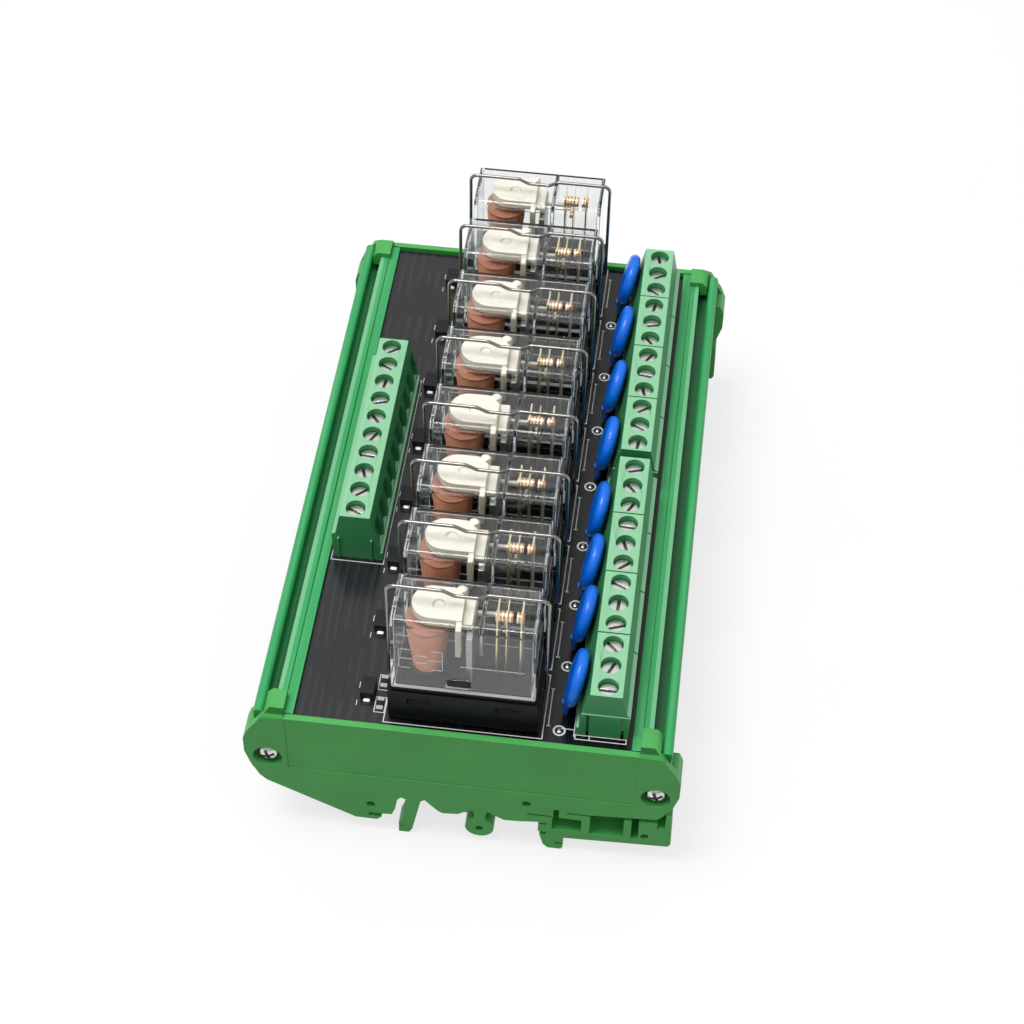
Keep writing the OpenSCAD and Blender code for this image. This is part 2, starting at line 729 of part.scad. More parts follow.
module input_block() {
    color("mediumseagreen")
    on_board() translate([-input_x, input_poles * pole_pitch / 2 - input_y, 0]) rotate([0, 0, 180]) difference() {
        block_body(input_poles);
        for (k = [0:input_poles - 1]) translate([0, (k + 0.5) * pole_pitch, 0]) {
            block_pole_cuts();
            // slanted recess in the face towards the relays
            translate([-wall_in + 1.2, 0, 6.2]) rotate([0, 14, 0]) cube([1.6, 3.4, 6.4], center = true);
        }
    }
}

// Angle of each screw's slot, spread by a simple rule
function slot_angle(k) = (k * 67) % 180;

module pole_screw(angle) {
    top = block_h - pole_sink;
    difference() {
        union() {
            translate([0, 0, top - 1.5]) cylinder(d = pole_screw_d, h = 1.5);
            translate([0, 0, 4.2]) cylinder(r = 1.1, h = top - 5.6);
        }
        rotate([0, 0, angle]) translate([-3, -0.3, top - 0.6]) cube([6, 0.6, 1]);
    }
}

module terminal_screws() {
    color("silver") on_board() {
        for (k = [0:output_poles - 1]) translate([output_x, pole_y(k), 0]) pole_screw(slot_angle(k));
        for (k = [0:input_poles - 1]) translate([-input_x, input_pole_y(k), 0]) pole_screw(slot_angle(k + 5));
    }
}

module clamp() {
    difference() {
        translate([0, 0, 3.6]) cube([chamber - slide, chamber - slide, 5.4], center = true);
        translate([0, 0, 3.4]) cube([chamber + 1, 2.8, 3.6], center = true);
        translate([0, 0, 3.4]) cylinder(r = 1.15, h = 5);
    }
    translate([0, 0, -board_t - 1.4]) cylinder(r = pin_r, h = board_t + 2.4);
}

module terminal_clamps() {
    color("lightsteelblue") on_board() {
        for (k = [0:output_poles - 1]) translate([output_x, pole_y(k), 0]) clamp();
        for (k = [0:input_poles - 1]) translate([-input_x, input_pole_y(k), 0]) clamp();
    }
}

// A disc with a lens section: two wide arcs that run into a round rim
module varistor(angle) {
    r = varistor_d / 2;
    half = varistor_t / 2;
    rim = half - 0.5;
    dome = (pow(r - rim, 2) + pow(half, 2) - pow(rim, 2)) / (2 * (half - rim));
    join_x = (r - rim) * dome / (dome - rim);
    lead_x = -sin(varistor_lean) * (r - 1);
    translate([0, 0, varistor_z]) rotate([0, 0, -angle]) rotate([0, 90 + varistor_lean, 0]) rotate_extrude($fn = 64) {
        intersection() {
            translate([0, half - dome]) circle(dome, $fn = 200);
            translate([0, dome - half]) circle(dome, $fn = 200);
            rect(0, join_x, -varistor_t, varistor_t);
        }
        intersection() {
            translate([r - rim, 0]) circle(rim);
            rect(join_x - 0.4, r, -varistor_t, varistor_t);
        }
    }
    // leads, coated down to just above the board
    rotate([0, 0, -angle]) for (s = [-1, 1]) translate([lead_x + s * 0.4, s * 3, 0]) {
        cylinder(r = 0.4, h = varistor_z - 3.4);
        translate([0, 0, 0.9]) cylinder(r1 = 0.55, r2 = 0.85, h = varistor_z - r + 1.2);
    }
}

module varistors() {
    color("royalblue")
    for (i = [0:2 * half_blocks - 1])
        on_board() translate([varistor_x, block_y(i) + block_l / 2 + varistor_shift[i], 0])
            varistor(varistor_turn[i]);
}

// Moulded diodes, each with a bent lead at both ends
module diodes() {
    color("dimgray")
    for (i = [0:relay_n - 1]) on_board() translate([-diode_x, relay_y(i), 0]) {
        box(-1.35, 1.35, -2.9, 1.1, 0.1, diode_h);
        for (y = [-3.6, 0.8]) box(-0.7, 0.7, y, y + 1, 0, 0.4);
    }
}

module chip_parts() {
    color("black")
    for (i = [0:relay_n - 1], y = [-4.7, 0.6]) on_board() translate([chip_shift - diode_x, relay_y(i) + y, 0])
        box(-chip_w / 2, chip_w / 2, 0, chip_l, 0, 0.55);
}

carrier_profile();
end_plate_front();
end_plate_rear();
end_plate_screws();
circuit_board();
for (i = [0:relay_n - 1]) {
    relay_socket(i);
    relay_cover(i);
    relay_armature(i);
    moving_contact(i);
    retaining_clip(i);
}
relay_bases();
relay_yokes();
coil_bobbins();
coil_windings();
fixed_contacts();
output_blocks(0, half_blocks - 1);  // output_blocks_near
output_blocks(half_blocks, 2 * half_blocks - 1);  // output_blocks_far
input_block();
terminal_screws();
terminal_clamps();
varistors();
diodes();
chip_parts();
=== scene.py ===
# %% [markdown]
# # An interface relay module for a mounting rail
# The object is a green carrier with a black circuit board, eight plug-in relays under clear covers, wire
# clips, two rows of screw terminals and eight blue varistors. Its exact shapes come from CAD. This lesson
# dresses them: it gives each surface a finish, rounds the edges, and adds what is too fine for the CAD,
# such as the turns of wire on the coils. Everything is in metres, in the frame of the CAD model.

# %% Load the frame
import math

import bmesh
import bpy
from mathutils import Matrix, Vector


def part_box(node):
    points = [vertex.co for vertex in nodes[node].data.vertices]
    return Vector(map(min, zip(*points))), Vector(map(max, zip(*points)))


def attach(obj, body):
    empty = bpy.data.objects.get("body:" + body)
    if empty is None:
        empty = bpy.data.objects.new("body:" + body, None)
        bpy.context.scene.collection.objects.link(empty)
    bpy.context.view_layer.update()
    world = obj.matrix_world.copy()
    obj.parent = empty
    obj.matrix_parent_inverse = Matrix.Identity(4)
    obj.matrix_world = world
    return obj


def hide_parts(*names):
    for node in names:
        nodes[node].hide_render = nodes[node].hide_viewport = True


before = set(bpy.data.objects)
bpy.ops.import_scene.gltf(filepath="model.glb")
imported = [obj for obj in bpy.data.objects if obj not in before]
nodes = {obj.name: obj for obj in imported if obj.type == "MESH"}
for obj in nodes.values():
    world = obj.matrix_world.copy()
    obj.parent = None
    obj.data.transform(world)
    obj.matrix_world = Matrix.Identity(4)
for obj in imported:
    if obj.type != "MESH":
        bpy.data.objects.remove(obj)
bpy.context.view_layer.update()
MM = 0.001

# %% [markdown]
# ## Sizes that several pieces share
# The board's top face is the level from which the small pieces are measured. Each size is read from the CAD
# nodes where it can be, so that a piece stays in its place if the CAD changes.

# %% Places on the board
BODY = "module"
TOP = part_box("circuit_board")[1].z
RELAYS = 8
first_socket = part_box("relay_socket_1")
last_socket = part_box(f"relay_socket_{RELAYS}")
relay_y = (first_socket[0].y + first_socket[1].y) / 2
last_y = (last_socket[0].y + last_socket[1].y) / 2
relay_pitch = (last_y - relay_y) / (RELAYS - 1)
block_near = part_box("output_blocks_near")
block_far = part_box("output_blocks_far")
BLOCKS_IN_ROW = 4
block_pitch = (block_near[1].y - block_near[0].y) / BLOCKS_IN_ROW
print("board top", round(TOP / MM, 2), "relay pitch", round(relay_pitch / MM, 2),
      "block pitch", round(block_pitch / MM, 2))

# %% [markdown]
# ## Camera
# The photograph looks down on the module from the front, a little from the right, with a long lens. Its
# place was found from corners whose real positions are known, so the render and the photograph lie on top
# of each other.

# %% Camera
LENS = 81.41
camera_place = Vector((0.0362835, -0.3211062, 0.3880051))
right = Vector((0.992376, 0.122511, 0.01346))
ahead = Vector((-0.071025, 0.657712, -0.749914))
above = right.cross(ahead)
camera_data = bpy.data.cameras.new("camera")
camera_data.lens = LENS
camera_data.sensor_width = 36
camera_data.clip_start = 0.01
camera_data.clip_end = 20
camera = bpy.data.objects.new("camera", camera_data)
turn = Matrix((right, above, -ahead)).transposed()
camera.matrix_world = Matrix.Translation(camera_place) @ turn.to_4x4()
bpy.context.scene.collection.objects.link(camera)
bpy.context.scene.camera = camera
bpy.context.scene.view_settings.view_transform = "Standard"
print("camera", [round(v, 3) for v in camera_place])

# %% [markdown]
# ## Arithmetic for materials
# A material is a graph of nodes. Writing each Math node by hand is slow to read, so a small class wraps one
# output socket and lets Python's own operators add the nodes: `1 - mask` or `x > 3` is then a Math node.
# Colours never go through Math nodes, which would turn them grey. They go through Mix nodes instead.


# %% The socket class
class Value:
    """One output of a material's tree. Arithmetic on it adds Math nodes."""

    def __init__(self, tree, socket):
        self.tree, self.socket = tree, socket

    def calc(self, operation, *terms):
        node = self.tree.nodes.new("ShaderNodeMath")
        node.operation = operation
        for slot, term in zip(node.inputs, terms):
            plug(self.tree, slot, term)
        return Value(self.tree, node.outputs[0])

    def __add__(self, other):
        return self.calc("ADD", self, other)

    def __sub__(self, other):
        return self.calc("SUBTRACT", self, other)

    def __rsub__(self, other):
        return self.calc("SUBTRACT", other, self)

    def __mul__(self, other):
        return self.calc("MULTIPLY", self, other)

    def __truediv__(self, other):
        return self.calc("DIVIDE", self, other)

    def __mod__(self, other):
        return self.calc("FLOORED_MODULO", self, other)

    def __gt__(self, other):
        return self.calc("GREATER_THAN", self, other)

    def __lt__(self, other):
        return self.calc("LESS_THAN", self, other)

    def __abs__(self):
        return self.calc("ABSOLUTE", self)

    def __pow__(self, other):
        return self.calc("POWER", self, other)

    def most(self, other):
        return self.calc("MAXIMUM", self, other)

    def least(self, other):
        return self.calc("MINIMUM", self, other)

    __radd__ = __add__


def plug(tree, slot, value):
    """Links a Value to a socket, or sets the socket's own value."""
    if isinstance(value, Value):
        tree.links.new(value.socket, slot)
    else:
        slot.default_value = value


def colour(red, green, blue):
    """A screen colour from 0 to 255 as the linear colour that a shader takes."""
    parts = [v / 255 for v in (red, green, blue)]
    return [v / 12.92 if v < 0.04045 else ((v + 0.055) / 1.055) ** 2.4 for v in parts] + [1.0]


# %% [markdown]
# ## A finish
# Each finish starts from Blender's Principled shader. The class below opens a new material, gives the place
# on the object in millimetres, and has one method that adds any other node. Patterns read that place, so
# they stay on the surface when a piece moves.


# %% The finish class
class Finish:
    """A material with Blender's Principled shader and the tools to add to it."""

    def __init__(self, name, **constants):
        self.material = bpy.data.materials.new(name)
        self.material.use_nodes = True
        self.tree = self.material.node_tree
        self.tree.nodes.clear()
        self.output = self.tree.nodes.new("ShaderNodeOutputMaterial")
        self.shader = self.tree.nodes.new("ShaderNodeBsdfPrincipled")
        self.tree.links.new(self.shader.outputs[0], self.output.inputs[0])
        for key, value in constants.items():
            self.shader.inputs[key.replace("_", " ")].default_value = value
        place = self.add("ShaderNodeTexCoord", {}, {}, "Object")
        self.place = self.add("ShaderNodeVectorMath", {"operation": "SCALE"},
                              {"Vector": place, "Scale": 1 / MM}, "Vector")
        split = {axis: self.add("ShaderNodeSeparateXYZ", {}, {"Vector": self.place}, axis) for axis in "XYZ"}
        self.x, self.y, self.z = split["X"], split["Y"], split["Z"]
        self.facing = self.add("ShaderNodeTexCoord", {}, {}, "Normal")
        self.upward = self.add("ShaderNodeSeparateXYZ", {}, {"Vector": self.facing}, "Z")

    def add(self, kind, settings, values, output=0):
        """Adds a node, sets it up, fills its sockets and returns one of its outputs."""
        node = self.tree.nodes.new(kind)
        for key, value in settings.items():
            setattr(node, key, value)
        for key, value in values.items():
            known = {s.identifier: s for s in node.inputs}
            plug(self.tree, known[key] if key in known else node.inputs[key], value)
        return Value(self.tree, node.outputs[output])

    def mix(self, mask, first, second):
        """The first colour where the mask is 0, the second where it is 1."""
        return self.add("ShaderNodeMix", {"data_type": "RGBA"},
                        {"Factor_Float": mask, "A_Color": first, "B_Color": second}, 2)

    def noise(self, size, detail=2.0, stretch=(1, 1, 1)):
        """Cloudy noise from 0 to 1 whose blotches are about `size` millimetres wide."""
        where = self.add("ShaderNodeVectorMath", {"operation": "MULTIPLY"},
                         {0: self.place, 1: stretch}, "Vector")
        return self.add("ShaderNodeTexNoise", {}, {"Vector": where, "Scale": 1 / size, "Detail": detail}, 0)

    def between(self, value, low, high):
        """1 where the value lies between low and high."""
        return (value > low) * (value < high)

    def window(self, x, x0, x1, y, y0, y1):
        """1 inside a rectangle."""
        return self.between(x, x0, x1) * self.between(y, y0, y1)

    def line_box(self, x, x0, x1, y, y0, y1, width):
        """The outline of a rectangle, drawn with a pen of that width."""
        w = width / 2
        outer = self.window(x, x0 - w, x1 + w, y, y0 - w, y1 + w)
        return outer * (1 - self.window(x, x0 + w, x1 - w, y, y0 + w, y1 - w))

    def drawn(self, shapes, along, width=0.0):
        """Rectangles over x and the place along the board: outlines for a pen of some width, else filled."""
        masks = [self.line_box(self.x, x0, x1, along, y0, y1, width) if width else
                 self.window(self.x, x0, x1, along, y0, y1) for x0, x1, y0, y1 in shapes]
        drawing = masks[0]
        for mask in masks[1:]:
            drawing = drawing.most(mask)
        return drawing

    def from_relay(self):
        """Place along the board, measured from the middle of the nearest relay."""
        return (self.y - (relay_y / MM - relay_pitch / MM / 2)) % (relay_pitch / MM) - relay_pitch / MM / 2

    def set(self, **links):
        """Links values to the shader's sockets. An underscore in a name stands for a space."""
        for key, value in links.items():
            plug(self.tree, self.shader.inputs[key.replace("_", " ")], value)

    def bump(self, height, depth, edge=0.0):
        """Raises the surface by `depth` millimetres where the height is 1. `edge` also rounds its edges."""
        values = {"Distance": depth * MM, "Height": height}
        if edge:
            values["Normal"] = self.add("ShaderNodeBevel", {"samples": 6}, {"Radius": edge * MM}, 0)
        self.set(Normal=self.add("ShaderNodeBump", {}, values, 0))


# %% [markdown]
# ## Green plastics
# Three green plastics show: the extruded carrier, with faint lines along it from the die that it was drawn
# through, the moulded end plates, with a fine satin grain, and the paler terminal blocks. One function
# makes all three. It takes two shades that a slow noise mixes, and a grain with its own size and stretch. A
# face that looks up may take a paler shade of its own, which is painted top light. Masks then add what
# belongs to one plastic alone: a painted highlight strip and painted highlight streaks along the carrier,
# and painted shade in its groove and in the pockets of the end plates. All sizes are in millimetres.


# %% Moulded and extruded plastic
# Size of the slow noise, and the tilt from which a face counts as looking up and takes the painted top light
CLOUD = 9.0
LEAST_TILT, TILT_GAIN = 0.35, 2.2


def plastic(name, dark, light, rough, grain_size, grain_depth, stretch=(1, 1, 1), top=None, edge=0.0,
            **constants):
    made = Finish(name, **constants)
    slow = made.noise(CLOUD, 3.0)
    fine = made.noise(grain_size, 2.0, stretch)
    tint = slow * 0.6 + fine * 0.4
    made.shade = made.mix(tint, dark, light)
    if top:
        # Painted top light: faces that look up take the paler top shade in place of light from above
        painted_light = ((made.upward - LEAST_TILT) * TILT_GAIN).most(0).least(1)
        made.shade = made.mix(painted_light * (tint * 0.2 + 0.85), made.shade, top)
    made.set(Base_Color=made.shade, Roughness=fine * 0.12 + (rough - 0.06))
    made.bump(fine, grain_depth, edge)
    return made


# Each top colour is painted top light for the faces that look up
carrier_green = plastic("carrier_green", colour(30, 138, 72), colour(42, 154, 86), 0.32, 0.5, 0.012,
                        (2.2, 0.03, 2.2), top=colour(54, 160, 93), Specular_IOR_Level=0.4)
plate_green = plastic("plate_green", colour(44, 142, 54), colour(80, 184, 88), 0.42, 0.32, 0.016,
                      top=colour(76, 168, 86), edge=0.16, Specular_IOR_Level=0.35)
terminal_green = plastic("terminal_green", colour(56, 138, 84), colour(68, 152, 94), 0.38, 0.4, 0.01,
                         top=colour(140, 198, 156), Specular_IOR_Level=0.35)

# Painted highlights on the carrier's flange: a narrow pale strip on top near its outer edge, and pale streaks
# along its upward faces
STREAK_WIDTH, STREAK_STRETCH, MOST_STREAK = 0.9, (1, 0.02, 1), 0.35
STRIP_X, STRIP_Z = (35.1, 36.05), TOP / MM + 1.03
ridge_highlight = carrier_green.between(abs(carrier_green.x), *STRIP_X) * (carrier_green.z > STRIP_Z)
highlight_streak = (carrier_green.noise(STREAK_WIDTH, 2.0, STREAK_STRETCH) - 0.5).most(0) * 1.6
highlight_streak = (highlight_streak * carrier_green.upward.most(0)).least(MOST_STREAK)
carrier_green.shade = carrier_green.mix(highlight_streak, carrier_green.shade, colour(112, 196, 140))
carrier_green.shade = carrier_green.mix(ridge_highlight * 0.6, carrier_green.shade, colour(136, 196, 154))

# Painted shade in the groove between its two walls, darker with depth. The two windows differ because the
# grooves, alike in the CAD, fall in shade differently
LEFT_GROOVE, RIGHT_GROOVE = (-37.4, -36.08), (36.08, 37.9)
GROOVE_RIM, GROOVE_FADE = TOP / MM + 0.4, 1.4
depth = ((GROOVE_RIM - carrier_green.z) / GROOVE_FADE).most(0).least(1)
groove_shade = (carrier_green.between(carrier_green.x, *LEFT_GROOVE)
             .most(carrier_green.between(carrier_green.x, *RIGHT_GROOVE)) * depth)
carrier_green.set(Base_Color=carrier_green.mix(groove_shade * 0.8, carrier_green.shade, colour(20, 88, 42)))

# What lies behind the outer face of an end plate, such as the pockets of its foot, is in shade
SUNK_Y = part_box("end_plate_rear")[1].y / MM - 0.7
outward = plate_green.add("ShaderNodeSeparateXYZ", {}, {"Vector": plate_green.facing}, "Y") * plate_green.y
sunk = (outward > 1) * (abs(plate_green.y) < SUNK_Y)
plate_green.set(Base_Color=plate_green.mix(sunk * 0.8, plate_green.shade, colour(18, 76, 26)))
print("green plastics:", carrier_green.material.name, plate_green.material.name, terminal_green.material.name)

# %% [markdown]
# ## Black parts
# The sockets and relay bases are black moulded plastic with a dull grain. The chips are smoother.

# %% Black plastics
socket_black = plastic("socket_black", colour(9, 9, 10), colour(16, 16, 18), 0.4, 0.35, 0.012,
                       Specular_IOR_Level=0.14)
base_black = plastic("base_black", colour(8, 8, 9), colour(15, 15, 16), 0.36, 0.3, 0.008,
                     Specular_IOR_Level=0.2)
chip_black = plastic("chip_black", colour(20, 20, 22), colour(32, 32, 34), 0.45, 0.12, 0.006,
                     Specular_IOR_Level=0.3)

# A diode's body is black, and what sticks out at its ends is tinned metal
DIODE_BODY, DIODE_EDGE = (-2.95, 1.15), -17.2
lead = (1 - chip_black.between(chip_black.from_relay(), *DIODE_BODY)) * (chip_black.x < DIODE_EDGE)
chip_black.set(Base_Color=chip_black.mix(lead, chip_black.shade, colour(216, 216, 212)), Metallic=lead)

# %% [markdown]
# ## The circuit board
# A board is black glass-fibre laminate under a glossy solder mask, with white ink on top. The ink is drawn
# by masks: each relay has a rectangle round its socket and small parts with outlines at its left, and each
# terminal block has a ring beside its near end. They repeat with the relays and blocks, so the place along
# the board is taken modulo the pitch, and one drawing serves them all. Tracks under the mask show as faint
# raised lines, and three long ones run along the open left side. The mask is painted greyer towards the
# left, a painted reflection of the overhead light.

# %% What the ink draws
row_low, row_high = block_near[0].y / MM, block_far[1].y / MM
input_low, input_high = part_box("input_block")
INK, THIN = 0.2, 0.16

# Rectangles, as x from and to, then y from and to. Those of a relay count y from its middle
RELAY_FRAME = [(-15.15, 15.15, -7.6, 7.6)]
CHIP_FRAMES = [(-17.3, -15.35, -5.5, -1.9), (-17.3, -15.35, -0.2, 3.4)]
RELAY_LINES = [(-20.95, -20.8, -0.3, 1.2), (-20.95, -20.8, -4.4, -3.1), (-17.35, -17.2, -4.2, -3.2),
               (15.9, 16.1, -4.5, 4.5), (15.6, 16.4, 4.3, 4.5), (15.6, 16.4, -4.5, -4.3)]
ROW_FRAMES = [(21.3, 31.0, row_low - 1.1, row_low - 0.12),
              (-31.9, -21.3, input_low.y / MM - 0.35, input_high.y / MM + 0.5)]
ROW_LINES = [(23.9, 24.1, row_low - 1.1, row_low), (20.95, 21.15, row_low - 0.6, row_high),
             (18.2, 21.1, row_low + 0.9, row_low + 1.1)]

# For each row of pads: x and y of the first one, and how far x drifts and y steps to the next
PAD_ROWS = [(18.2, block_near[0].y / MM + 0.45, -0.08, block_pitch / MM + 0.05),
            (17.8, block_far[0].y / MM + 0.3, -0.08, block_pitch / MM + 0.72)]
RING = (0.88, 1.24)

# %% The board's finish
board = Finish("board_black", IOR=1.5)
cell = relay_pitch / MM
from_relay = board.from_relay()
in_relays = board.between(board.y, relay_y / MM - cell / 2, last_y / MM + cell / 2)
relay_ink = (board.drawn(RELAY_FRAME, from_relay, INK).most(board.drawn(CHIP_FRAMES, from_relay, THIN))
             .most(board.drawn(RELAY_LINES, from_relay)))
row_ink = board.drawn(ROW_FRAMES, board.y, INK).most(board.drawn(ROW_LINES, board.y))
ink = (in_relays * relay_ink).most(row_ink)
for pad_x, pad_y, drift, pad_pitch in PAD_ROWS:
    along = (board.y - (pad_y - pad_pitch / 2)) / pad_pitch
    index = along - along % 1
    reach = ((board.x - (index * drift + pad_x)) ** 2 + ((along % 1 - 0.5) * pad_pitch) ** 2) ** 0.5
    ink = ink.most(board.between(reach, *RING) * board.between(along, 0, BLOCKS_IN_ROW))
top_face = board.z > (TOP / MM - 0.05)
ink = ink * top_face

# Tracks run along the board, wander sideways, and stop where a slow noise is low
TRACK_PITCH, TRACK, TRACK_WANDER, TRACK_STOP = 1.9, (0.3, 1.15), 6, 0.46
wander = board.noise(14.0, 1.0, (1, 0.25, 1))
tracks = board.between((board.x + wander * TRACK_WANDER) % TRACK_PITCH, *TRACK)
tracks = tracks * (board.noise(11.0, 0.0) > TRACK_STOP)

# Painted reflection: the mask grows greyer to the left of this x, in place of the light that the glossy mask
# mirrors there
REFLECTION_FROM = -8
painted_light = ((board.x - REFLECTION_FROM) / REFLECTION_FROM).most(0).least(1)
# Both colours below take their greyer painted-reflection shade on the left
laminate = board.mix(painted_light, colour(10, 10, 12), colour(34, 34, 38))
copper_below = board.mix(painted_light, colour(20, 20, 23), colour(46, 46, 51))
mask_colour = board.mix(tracks * 0.8, laminate, copper_below)
LONG_TRACKS, TRACK_ENDS, TRACK_WIDTH, TRACK_SLANT = (-22.6, -25.1, -28.4), (-62, 58), 0.16, 0.02
for x in LONG_TRACKS:
    seam = board.window(board.x + board.y * TRACK_SLANT, x, x + TRACK_WIDTH, board.y, *TRACK_ENDS)
    mask_colour = board.mix(seam * 0.8, mask_colour, colour(8, 8, 10))
edge_colour = board.mix(top_face, colour(58, 54, 42), mask_colour)
speck = board.noise(0.5, 2.0)
board.set(Base_Color=board.mix(ink, edge_colour, colour(222, 222, 220)),
          Roughness=0.16 + speck * 0.08 + ink * 0.35)
board.bump(tracks * 0.6 + ink * 0.5 + speck * 0.1, 0.03)
print("ink repeats every", round(cell, 2), "mm along the relays and about", round(block_pitch / MM, 2),
      "mm along the terminals")

# %% [markdown]
# ## Metals
# Screws and clips are plated steel, the yokes dull iron, the contacts a gold-coloured alloy and the coils
# enamelled copper. A metal is all reflection, so its detail is in its roughness: fine scratches and a slow
# change from place to place.


# %% Plated metal
SCRATCH_DEPTH = 0.004


def metal(name, shade, rough, scratch=0.25, metallic=1.0):
    made = Finish(name, Metallic=metallic)
    fine = made.noise(scratch, 3.0)
    slow = made.noise(4.0, 2.0)
    darker = [v * 0.82 for v in shade[:3]] + [1.0]
    made.shade = made.mix(slow * 0.5 + fine * 0.5, darker, shade)
    made.set(Base_Color=made.shade, Roughness=rough + fine * 0.14 - 0.05)
    made.bump(fine, SCRATCH_DEPTH)
    return made


screw_steel = metal("screw_steel", colour(236, 236, 233), 0.26)
plate_steel = metal("plate_steel", colour(222, 222, 218), 0.24)
clip_steel = metal("clip_steel", colour(156, 153, 148), 0.22, 0.15)
yoke_iron = metal("yoke_iron", colour(178, 178, 172), 0.34)
contact_gold = metal("contact_gold", colour(252, 238, 192), 0.28)
solder = metal("solder", colour(206, 208, 210), 0.22, 0.4)
coil_copper = metal("coil_copper", colour(228, 150, 112), 0.36, 0.3, metallic=0.4)

# Painted shade: the slots of the screws and the crosses of the plates' screws are darkened where shade falls
# in them
SLOT_Z = TOP / MM + 10.72
CROSS_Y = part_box("end_plate_screws")[1].y / MM - 0.62
slot_shade = screw_steel.between(screw_steel.z, SLOT_Z - 0.4, SLOT_Z)
screw_steel.set(Base_Color=screw_steel.mix(slot_shade * 0.9, screw_steel.shade, colour(92, 92, 88)))
plate_steel.set(Base_Color=plate_steel.mix((abs(plate_steel.y) < CROSS_Y) * 0.9, plate_steel.shade,
                                           colour(52, 50, 48)))

# The rivets are silver on copper, and the foot of the yoke lies in the shade of its pocket
RIVET_Y, RIVET_Z, RIVET_R = 0.6, TOP / MM + 25.0, 1.13
STRIPE_STEP, STRIPE_FROM = 0.7, 0.36
FOOT_Z = TOP / MM + 11.1
rivet_y, rivet_z = contact_gold.from_relay() - RIVET_Y, contact_gold.z - RIVET_Z
rivet = (rivet_y ** 2 + rivet_z ** 2) ** 0.5 < RIVET_R
stripe = (contact_gold.x % STRIPE_STEP) > STRIPE_FROM
rivet_shade = contact_gold.mix(stripe, colour(252, 234, 200), colour(204, 140, 98))
contact_gold.set(Base_Color=contact_gold.mix(rivet, contact_gold.shade, rivet_shade))
yoke_iron.set(Base_Color=yoke_iron.mix(yoke_iron.z < FOOT_Z, yoke_iron.shade, colour(40, 40, 40)))

# %% [markdown]
# ## Ivory, blue coating and clear covers
# The armatures are an ivory-coloured moulding and the bobbins a tan one. The varistors are dipped in a blue
# resin, which leaves a glossy skin with slow waves. The covers are clear polycarbonate: real refraction
# makes the bright lines along their edges, the lower rim and the lower ends of the corners are frosted, and
# shadow rays pass straight through, so that the lamp lights what is inside.

# %% Ivory, blue and clear
# The top colour is painted top light for the faces that look up
ivory = plastic("relay_ivory", colour(182, 170, 148), colour(202, 192, 170), 0.4, 0.4, 0.01,
                top=colour(216, 208, 194))
bobbin = plastic("bobbin_tan", colour(150, 98, 76), colour(170, 116, 92), 0.4, 0.4, 0.01)
bobbin.set(Base_Color=bobbin.mix(bobbin.z < FOOT_Z, bobbin.shade, colour(30, 28, 26)))
blue = Finish("varistor_blue", Coat_Weight=0.25, Coat_Roughness=0.1, IOR=1.5, Specular_IOR_Level=0.35)
waves = blue.noise(2.4, 2.0)
grain = blue.noise(0.25, 1.0)
blue.set(Base_Color=blue.mix(waves, colour(0, 96, 218), colour(10, 120, 240)), Roughness=0.24 + grain * 0.1)
blue.bump(waves * 0.85 + grain * 0.15, 0.16)
clear = Finish("cover_clear", IOR=1.5, Transmission_Weight=1.0)
haze = clear.noise(3.0, 2.0)
clear.set(Base_Color=clear.mix(haze, colour(246, 249, 250), colour(252, 253, 253)),
          Roughness=haze * 0.04 + 0.01)
clear.bump(clear.noise(6.0, 1.0), 0.005)
cover_low, cover_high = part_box("relay_cover_1")
END_X, SIDE_Y = cover_high.x / MM - 0.3, (cover_high.y - cover_low.y) / MM / 2 - 0.3
RIM_Z, CORNER_Z, FROST = TOP / MM + 10.25, TOP / MM + 13.6, 0.9
corner = (abs(clear.x) > END_X) * (abs(clear.from_relay()) > SIDE_Y) * (clear.z < CORNER_Z)
frosted = clear.add("ShaderNodeBsdfPrincipled", {},
                    {"Base Color": colour(246, 248, 248), "Roughness": 0.45}, 0)
glass = Value(clear.tree, clear.shader.outputs[0])
skin = clear.add("ShaderNodeMixShader", {}, {"Fac": (clear.z < RIM_Z).most(corner) * FROST,
                                             "Shader": glass, "Shader_001": frosted}, 0)
open_way = clear.add("ShaderNodeBsdfTransparent", {}, {"Color": colour(226, 228, 228)}, 0)
shadow_ray = clear.add("ShaderNodeLightPath", {}, {}, "Is Shadow Ray")
lets_light_in = clear.add("ShaderNodeMixShader", {}, {"Fac": shadow_ray, "Shader": skin,
                                                      "Shader_001": open_way}, 0)
clear.tree.links.new(lets_light_in.socket, clear.output.inputs[0])
ink_white = plastic("ink_white", colour(240, 240, 238), colour(252, 252, 250), 0.5, 0.2, 0.002)
print("finishes made:", len(bpy.data.materials))

# %% [markdown]
# ## Dressing the CAD nodes
# A CAD node keeps its mesh, but modifiers may finish it. Weld joins its loose triangles, a planar Decimate
# makes whole faces of them again, and Bevel rounds the edges, which is what catches the light on real
# parts. The end plates and the terminal blocks have faces with many holes, which a whole face can't follow,
# so they keep their triangles, and a Bevel node in the end plates' material rounds their edges in the
# shading alone. A small Geometry Nodes tree then smooths the shading wherever two faces meet at a shallow
# angle.


# %% A tree that shades by angle
def geometry_tree(name):
    tree = bpy.data.node_groups.new(name, "GeometryNodeTree")
    tree.is_modifier = True
    return tree


def socket_in(tree, name, kind, value=None):
    made = tree.interface.new_socket(name, in_out="INPUT", socket_type=kind)
    if value is not None:
        made.default_value = value
    return made.identifier


def step_node(tree, kind, settings, values):
    """Adds a geometry node. A value may be a number or another node's output socket."""
    node = tree.nodes.new(kind)
    for key, value in settings.items():
        setattr(node, key, value)
    for key, value in values.items():
        slot = node.inputs[key]
        if isinstance(value, bpy.types.NodeSocket):
            tree.links.new(value, slot)
        else:
            slot.default_value = value
    return node


